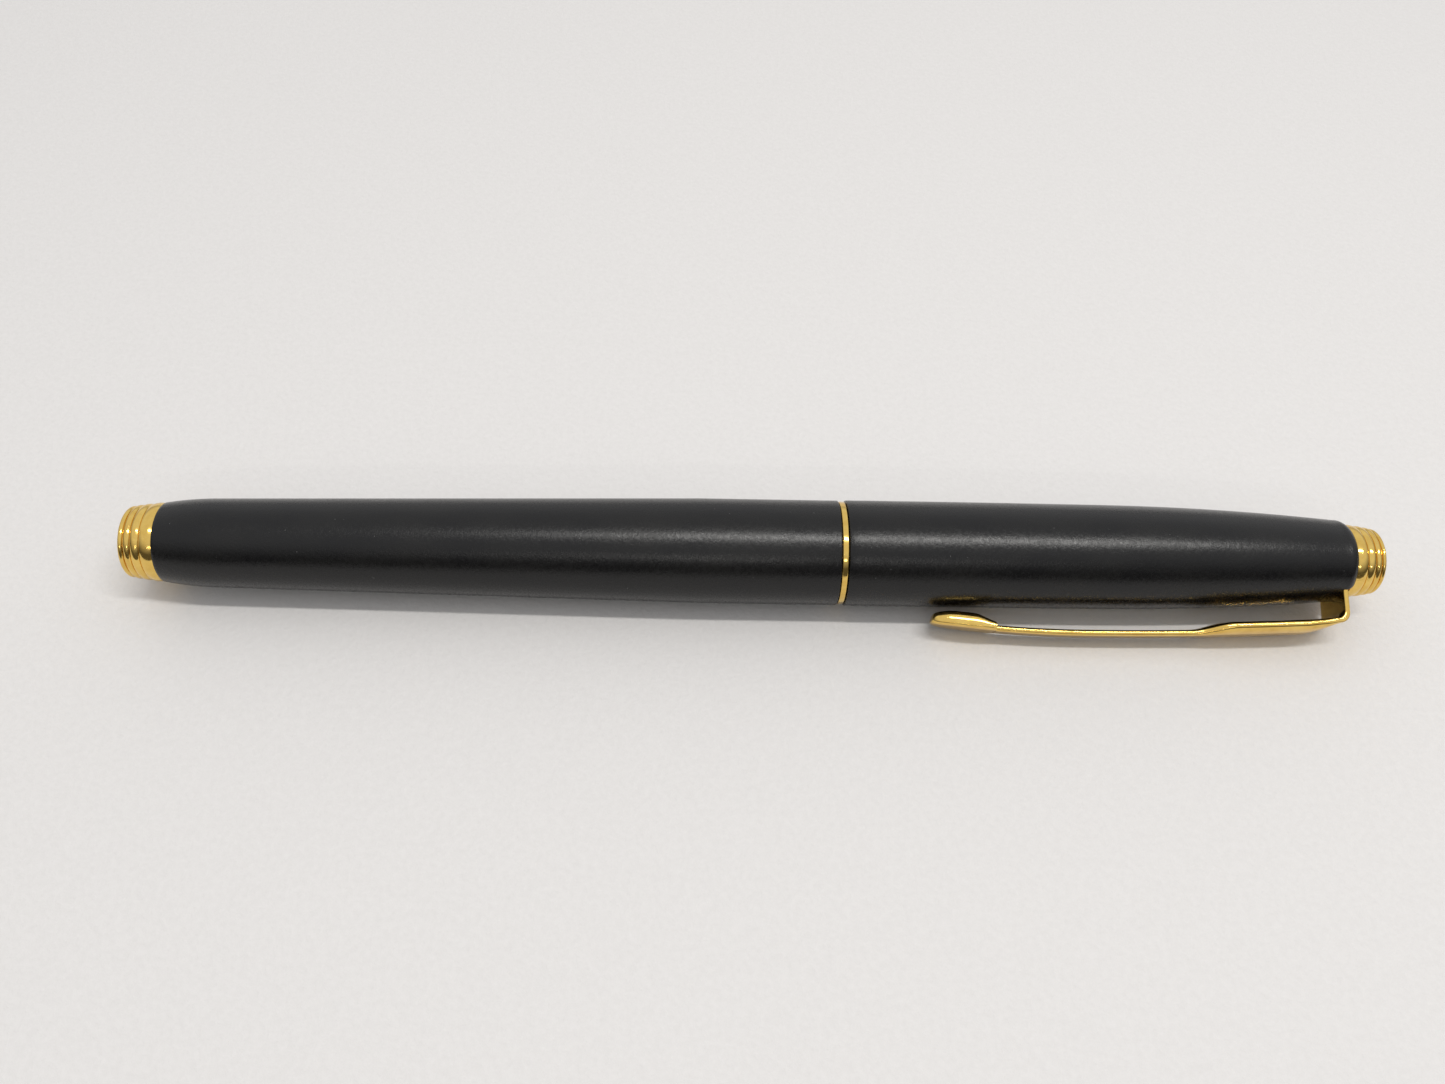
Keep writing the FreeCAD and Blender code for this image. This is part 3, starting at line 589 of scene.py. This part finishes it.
class Recipe:
    """A Principled material that is being put together. Scales are features per millimetre."""

    def __init__(self, name, colour, roughness, metallic=0.0):
        self.material = bpy.data.materials.new(name)
        self.material.use_nodes = True
        self.nodes = self.material.node_tree.nodes
        self.links = self.material.node_tree.links
        self.shader = self.nodes["Principled BSDF"]
        self.set("Base Color", (*colour, 1))
        self.set("Roughness", roughness)
        self.set("Metallic", metallic)
        self.place = self.nodes.new("ShaderNodeTexCoord").outputs["Object"]

    def set(self, socket, value):
        if isinstance(value, bpy.types.NodeSocket):
            self.links.new(value, self.shader.inputs[socket])
        else:
            self.shader.inputs[socket].default_value = value

    def stretched(self, stretch):
        mapping = self.nodes.new("ShaderNodeMapping")
        mapping.inputs["Scale"].default_value = stretch
        self.links.new(self.place, mapping.inputs["Vector"])
        return mapping.outputs["Vector"]

    def noise(self, scale, stretch=(1, 1, 1), detail=4, rough=0.55):
        node = self.nodes.new("ShaderNodeTexNoise")
        node.inputs["Scale"].default_value = scale / MM
        node.inputs["Detail"].default_value = detail
        node.inputs["Roughness"].default_value = rough
        self.links.new(self.stretched(stretch), node.inputs["Vector"])
        return node.outputs["Fac"]

    def specks(self, scale, size):
        """1 inside small round dots scattered at random, 0 elsewhere."""
        node = self.nodes.new("ShaderNodeTexVoronoi")
        node.inputs["Scale"].default_value = scale / MM
        self.links.new(self.place, node.inputs["Vector"])
        return self.ramp(node.outputs["Distance"], size, size * 0.5, 0, 1)

    def hairs(self, scale, width, rarity):
        """1 on short, thin, wandering lines, such as scratches or lint."""
        level = self.math("ABSOLUTE", self.math("SUBTRACT", self.noise(scale, detail=1), 0.5))
        lines = self.ramp(level, width, 0, 0, 1)
        places = self.ramp(self.noise(scale * 1.7, detail=2), rarity, rarity + 0.03, 0, 1)
        return self.math("MULTIPLY", lines, places)

    def rings(self, scale):
        """Fine turning marks round the pen's axis."""
        return self.noise(scale, (1, 0.01, 0.01), 3, 0.7)

    def ramp(self, value, low, high, to_low, to_high):
        node = self.nodes.new("ShaderNodeMapRange")
        node.inputs["From Min"].default_value = low
        node.inputs["From Max"].default_value = high
        node.inputs["To Min"].default_value = to_low
        node.inputs["To Max"].default_value = to_high
        self.links.new(value, node.inputs["Value"])
        return node.outputs["Result"]

    def math(self, operation, first, second=None):
        node = self.nodes.new("ShaderNodeMath")
        node.operation = operation
        for number, value in enumerate((first, second)):
            if isinstance(value, bpy.types.NodeSocket):
                self.links.new(value, node.inputs[number])
            elif value is not None:
                node.inputs[number].default_value = value
        return node.outputs["Value"]

    def mixed(self, share, first, second):
        """A colour between two, each an (r, g, b) or another mix."""
        node = self.nodes.new("ShaderNodeMix")
        node.data_type = "RGBA"
        self.links.new(share, node.inputs["Factor"])
        for name, colour in (("A", first), ("B", second)):
            socket = [slot for slot in node.inputs if slot.name == name and slot.type == "RGBA"][0]
            if isinstance(colour, bpy.types.NodeSocket):
                self.links.new(colour, socket)
            else:
                socket.default_value = (*colour, 1)
        return [slot for slot in node.outputs if slot.type == "RGBA"][0]

    def bump(self, height, depth, strength=1.0):
        """Raises the surface by height times depth, in millimetres."""
        node = self.nodes.new("ShaderNodeBump")
        node.inputs["Strength"].default_value = strength
        node.inputs["Distance"].default_value = depth * MM
        self.links.new(height, node.inputs["Height"])
        self.set("Normal", node.outputs["Normal"])


def black_lacquer():
    """Matte black lacquer: a mottled sheen, specks of dust and a few hair scratches."""
    recipe = Recipe("black_lacquer", (0.007, 0.007, 0.0075), 0.3)
    grain = recipe.noise(2.6, detail=4, rough=0.7)
    clouds = recipe.noise(0.3, (0.5, 1, 1), 3)
    dust = recipe.math("MAXIMUM", recipe.specks(0.7, 0.035), recipe.hairs(0.9, 0.006, 0.72))
    fading = recipe.ramp(clouds, 0.35, 0.7, 0, 1)
    worn = recipe.mixed(fading, (0.003, 0.003, 0.0035), (0.006, 0.0058, 0.0055))
    recipe.set("Base Color", recipe.mixed(dust, worn, (0.14, 0.14, 0.138)))
    sheen = recipe.ramp(grain, 0.3, 0.7, 0.19, 0.34)
    patches = recipe.ramp(clouds, 0.3, 0.7, -0.03, 0.03)
    recipe.set("Roughness", recipe.math("ADD", sheen, patches))
    recipe.set("Specular IOR Level", 0.38)
    recipe.bump(recipe.math("ADD", grain, recipe.math("MULTIPLY", dust, 0.4)), 0.022)
    return recipe.material


def grip_resin():
    """Polished black resin with fine handling scratches."""
    recipe = Recipe("grip_resin", (0.008, 0.008, 0.009), 0.12)
    smears = recipe.noise(0.5, (0.6, 1, 1), 4)
    scratches = recipe.hairs(0.5, 0.006, 0.55)
    recipe.set("Base Color", recipe.mixed(scratches, (0.008, 0.008, 0.009), (0.03, 0.03, 0.031)))
    recipe.set("Roughness", recipe.math("ADD", recipe.ramp(smears, 0.3, 0.7, 0.08, 0.2), scratches))
    recipe.bump(recipe.noise(1.5, detail=3), 0.004)
    return recipe.material


def gold_plate():
    """Polished gold plate, a little dulled in places, with fine scratches in every direction."""
    recipe = Recipe("gold_plate", GOLDEN, 0.14, 1.0)
    tarnish = recipe.noise(0.8, detail=5)
    wear = recipe.hairs(0.9, 0.012, 0.5)
    dulling = recipe.ramp(tarnish, 0.35, 0.75, 0, 1)
    recipe.set("Base Color", recipe.mixed(dulling, GOLDEN, (0.74, 0.47, 0.11)))
    scuffs = recipe.math("MULTIPLY", wear, 0.12)
    recipe.set("Roughness", recipe.math("ADD", recipe.ramp(tarnish, 0.3, 0.75, 0.07, 0.18), scuffs))
    recipe.bump(recipe.math("ADD", recipe.noise(4.0, detail=3), wear), 0.0022)
    return recipe.material


def brushed_gold_painted_shade():
    """Gold plate brushed along the clip's length, its base colour darkened as painted shade of the faces
    that look outwards and down.
    """
    recipe = Recipe("brushed_gold_painted_shade", (0.78, 0.50, 0.13), 0.3, 1.0)
    strokes = recipe.noise(14.0, (0.02, 1, 1), 5, 0.7)
    tarnish = recipe.noise(0.7, detail=5)
    dulling = recipe.ramp(tarnish, 0.3, 0.75, 0, 1)
    # Both colours are darker than gold_plate's: painted shade on the clip's outward, downward-facing
    # faces; the noise between them is tarnish.
    recipe.set("Base Color", recipe.mixed(dulling, (0.80, 0.52, 0.14), (0.66, 0.41, 0.10)))
    recipe.set("Roughness", recipe.ramp(strokes, 0.3, 0.7, 0.22, 0.4))
    recipe.bump(strokes, 0.012)
    return recipe.material


def machined(name, colour, low, high):
    """Turned metal: fine rings round the axis, with stains."""
    recipe = Recipe(name, colour, low, 1.0)
    rings = recipe.rings(7.0)
    stains = recipe.noise(0.6, detail=5)
    darker = tuple(part * 0.72 for part in colour)
    recipe.set("Base Color", recipe.mixed(recipe.ramp(stains, 0.4, 0.75, 0, 1), colour, darker))
    recipe.set("Roughness", recipe.ramp(recipe.math("MULTIPLY", rings, stains), 0.1, 0.4, low, high))
    recipe.bump(rings, 0.008)
    return recipe.material


def moulded(name, colour, low, high):
    """Moulded plastic: a fine grain with faint flow marks."""
    recipe = Recipe(name, colour, low)
    grain = recipe.noise(6.0, detail=3)
    flow = recipe.noise(0.4, (0.15, 1, 1), 3)
    lighter = tuple(part * 1.35 + 0.004 for part in colour)
    recipe.set("Base Color", recipe.mixed(recipe.ramp(flow, 0.3, 0.7, 0, 1), colour, lighter))
    recipe.set("Roughness", recipe.ramp(grain, 0.3, 0.7, low, high))
    recipe.bump(grain, 0.006)
    return recipe.material


def drawn_wire():
    """Spring wire with draw marks and a little oil."""
    recipe = Recipe("drawn_wire", (0.55, 0.55, 0.56), 0.25, 1.0)
    marks = recipe.noise(9.0, (1, 0.2, 0.2), 4, 0.7)
    oil = recipe.noise(0.7, detail=3)
    film = recipe.ramp(oil, 0.4, 0.7, 0, 1)
    recipe.set("Base Color", recipe.mixed(film, (0.56, 0.56, 0.57), (0.40, 0.38, 0.34)))
    recipe.set("Roughness", recipe.ramp(marks, 0.3, 0.7, 0.18, 0.36))
    recipe.bump(marks, 0.004)
    return recipe.material


def ink_fibre():
    """A bundle of fibres along the axis, soaked in dark ink."""
    recipe = Recipe("ink_fibre", (0.02, 0.02, 0.07), 0.8)
    fibres = recipe.noise(12.0, (0.03, 1, 1), 4, 0.7)
    recipe.set("Base Color", recipe.mixed(fibres, (0.012, 0.012, 0.05), (0.06, 0.06, 0.15)))
    recipe.set("Roughness", recipe.ramp(fibres, 0.3, 0.7, 0.65, 0.95))
    recipe.bump(fibres, 0.05)
    return recipe.material


MATERIALS = {
    "black_resin": black_lacquer(),
    "grip_resin": grip_resin(),
    "gold_plate": gold_plate(),
    "snap_gold": machined("snap_gold", (0.83, 0.54, 0.15), 0.1, 0.26),
    "raw_brass": machined("raw_brass", (0.68, 0.47, 0.19), 0.2, 0.4),
    "spring_steel": drawn_wire(),
    "inner_plastic": moulded("inner_plastic", (0.022, 0.022, 0.023), 0.35, 0.55),
    "refill_body": machined("refill_body", (0.60, 0.60, 0.61), 0.24, 0.42),
    "refill_plastic": moulded("refill_plastic", (0.012, 0.012, 0.014), 0.2, 0.35),
    "tip_metal": machined("tip_metal", (0.66, 0.62, 0.55), 0.12, 0.28),
    "ball_carbide": machined("ball_carbide", (0.42, 0.42, 0.44), 0.06, 0.16),
    "ink_fibre": ink_fibre(),
}


# Assembly

def wear(piece, slot, *more):
    """Gives the piece that slot's material, and any more materials after it."""
    piece.data.materials.clear()
    for material in (MATERIALS[slot], *more):
        piece.data.materials.append(material)


def place_piece(piece, body, node, slot):
    wear(piece, slot)
    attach(piece, body)
    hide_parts(node)


spring = spring_coil()
place_piece(barrel_skin(), "barrel", "barrel_shell", "black_resin")
place_piece(tail_ribs(), "barrel", "tail_finial", "gold_plate")
place_piece(bush_thread(), "barrel", "barrel_thread_bush", "raw_brass")
place_piece(spring, "barrel", "refill_spring", "spring_steel")
place_piece(trim_band(), "trim", "trim_ring", "gold_plate")
place_piece(section_screw(), "front", "section_thread", "raw_brass")
place_piece(grip_skin(), "front", "grip_section", "grip_resin")
place_piece(nose_skin(), "front", "nose_cone", "gold_plate")
place_piece(snap_band(), "snap", "snap_ring", "snap_gold")
place_piece(refill_sleeve(), "refill", "refill_tube", "refill_body")
place_piece(refill_front(), "refill", "refill_nose", "refill_plastic")
place_piece(refill_point(), "refill", "refill_tip", "tip_metal")
place_piece(cap_skin(), "cap", "cap_shell", "black_resin")
place_piece(cap_ribs(), "cap", "cap_finial", "gold_plate")

clip = clip_strip()
# The clip's second material is brushed gold whose darker base colour is painted shade.
wear(clip, "gold_plate", brushed_gold_painted_shade())
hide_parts("clip_root", "clip_arm")
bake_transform(clip)


def shorten_with_refill(piece):
    """Gives the spring a mesh of its own."""
    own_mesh(piece)


shorten_with_refill(spring)


def dress_cad_nodes():
    """Every CAD node that stays gets its own slot's material."""
    for subpart in frame["record"]["subparts"]:
        for slot in frame["nodes"][subpart["node"]].material_slots:
            slot.material = MATERIALS[subpart["material_slot"]]


dress_cad_nodes()


# Stage, light and camera

FLOOR_Z = min(cad_bounds[0][2], -BELLY_R * MM) - 0.02 * MM


def floor():
    """A pale woven cloth, pulled flat."""
    build = bmesh.new()
    half = 0.6
    corners = [(-half, -half), (half, -half), (half, half), (-half, half)]
    build.faces.new([build.verts.new((x, y, FLOOR_Z)) for x, y in corners])
    piece = finished("floor", build)
    recipe = Recipe("pale_cloth", (0.74, 0.725, 0.71), 0.9)
    weave = recipe.noise(1.6, detail=4, rough=0.6)
    recipe.set("Base Color", recipe.mixed(weave, (0.71, 0.695, 0.68), (0.79, 0.775, 0.76)))
    recipe.bump(weave, 0.09)
    piece.data.materials.append(recipe.material)


def aim(holder, right, up, back, place):
    """Puts a light or camera at a place, turned so that its own axes are right, up and back."""
    turned = Matrix((right, up, back)).transposed()
    holder.matrix_world = Matrix.Translation(place) @ turned.to_4x4()
    bpy.context.scene.collection.objects.link(holder)


def area_light(name, elevation, x, distance, size, power, colour):
    """A strip light parallel to the pen; elevation 0 is level with it on the clip's side."""
    light = bpy.data.lights.new(name, "AREA")
    light.shape = "RECTANGLE"
    light.size, light.size_y = size
    light.energy = power
    light.color = colour
    holder = bpy.data.objects.new(name, light)
    middle = Vector((PEN_LENGTH / 2 * MM, 0, 0))
    angle = math.radians(elevation)
    place = Vector((x, -math.cos(angle) * distance, math.sin(angle) * distance))
    back = (place - middle).normalized()
    along = (Vector((1, 0, 0)) - back * back.x).normalized()
    aim(holder, along, back.cross(along), back, place)


def room_light():
    """An even room, brightest overhead and behind the pen, dark low down in front of it."""
    world = bpy.data.worlds.new("soft_room")
    world.use_nodes = True
    nodes = world.node_tree.nodes
    links = world.node_tree.links
    place = nodes.new("ShaderNodeTexCoord")
    toward = nodes.new("ShaderNodeVectorMath")
    toward.operation = "DOT_PRODUCT"
    toward.inputs[1].default_value = (0.0, 0.3, 0.95)
    links.new(place.outputs["Generated"], toward.inputs[0])
    ramp = nodes.new("ShaderNodeValToRGB")
    dark, bright = ramp.color_ramp.elements
    dark.position = 0.0
    dark.color = (0.10, 0.095, 0.09, 1)
    bright.position = 0.55
    bright.color = (0.78, 0.78, 0.79, 1)
    links.new(toward.outputs["Value"], ramp.inputs["Fac"])
    links.new(ramp.outputs["Color"], nodes["Background"].inputs["Color"])
    bpy.context.scene.world = world


def camera():
    """The viewpoint: above and in front of the pen, rolled a little, nearly over its middle."""
    elevation = math.radians(52.8)
    heading = math.radians(2.35)
    roll = math.radians(2.80)
    distance = 130.95 * MM
    target = Vector((63.50, 0.78, 0.59)) * MM
    forward = Vector((
        math.cos(elevation) * math.sin(heading),
        math.cos(elevation) * math.cos(heading),
        -math.sin(elevation),
    ))
    level = Vector((math.cos(heading), -math.sin(heading), 0))
    right = level * math.cos(roll) + level.cross(forward) * math.sin(roll)
    up = right.cross(forward)
    data = bpy.data.cameras.new("camera")
    data.sensor_width = 36
    data.lens = 29.9
    data.clip_start = 0.001
    holder = bpy.data.objects.new("camera", data)
    aim(holder, right, up, -forward, target - forward * distance)
    bpy.context.scene.camera = holder


floor()
room_light()
area_light("overhead", 84.5, 0.19, 0.6, (0.44, 0.03), 1.55, (1.0, 0.98, 0.95))
area_light("window", 37, 0.08, 0.6, (0.25, 0.012), 0.14, (1.0, 0.97, 0.93))
camera()
bpy.context.scene.view_settings.view_transform = "Standard"
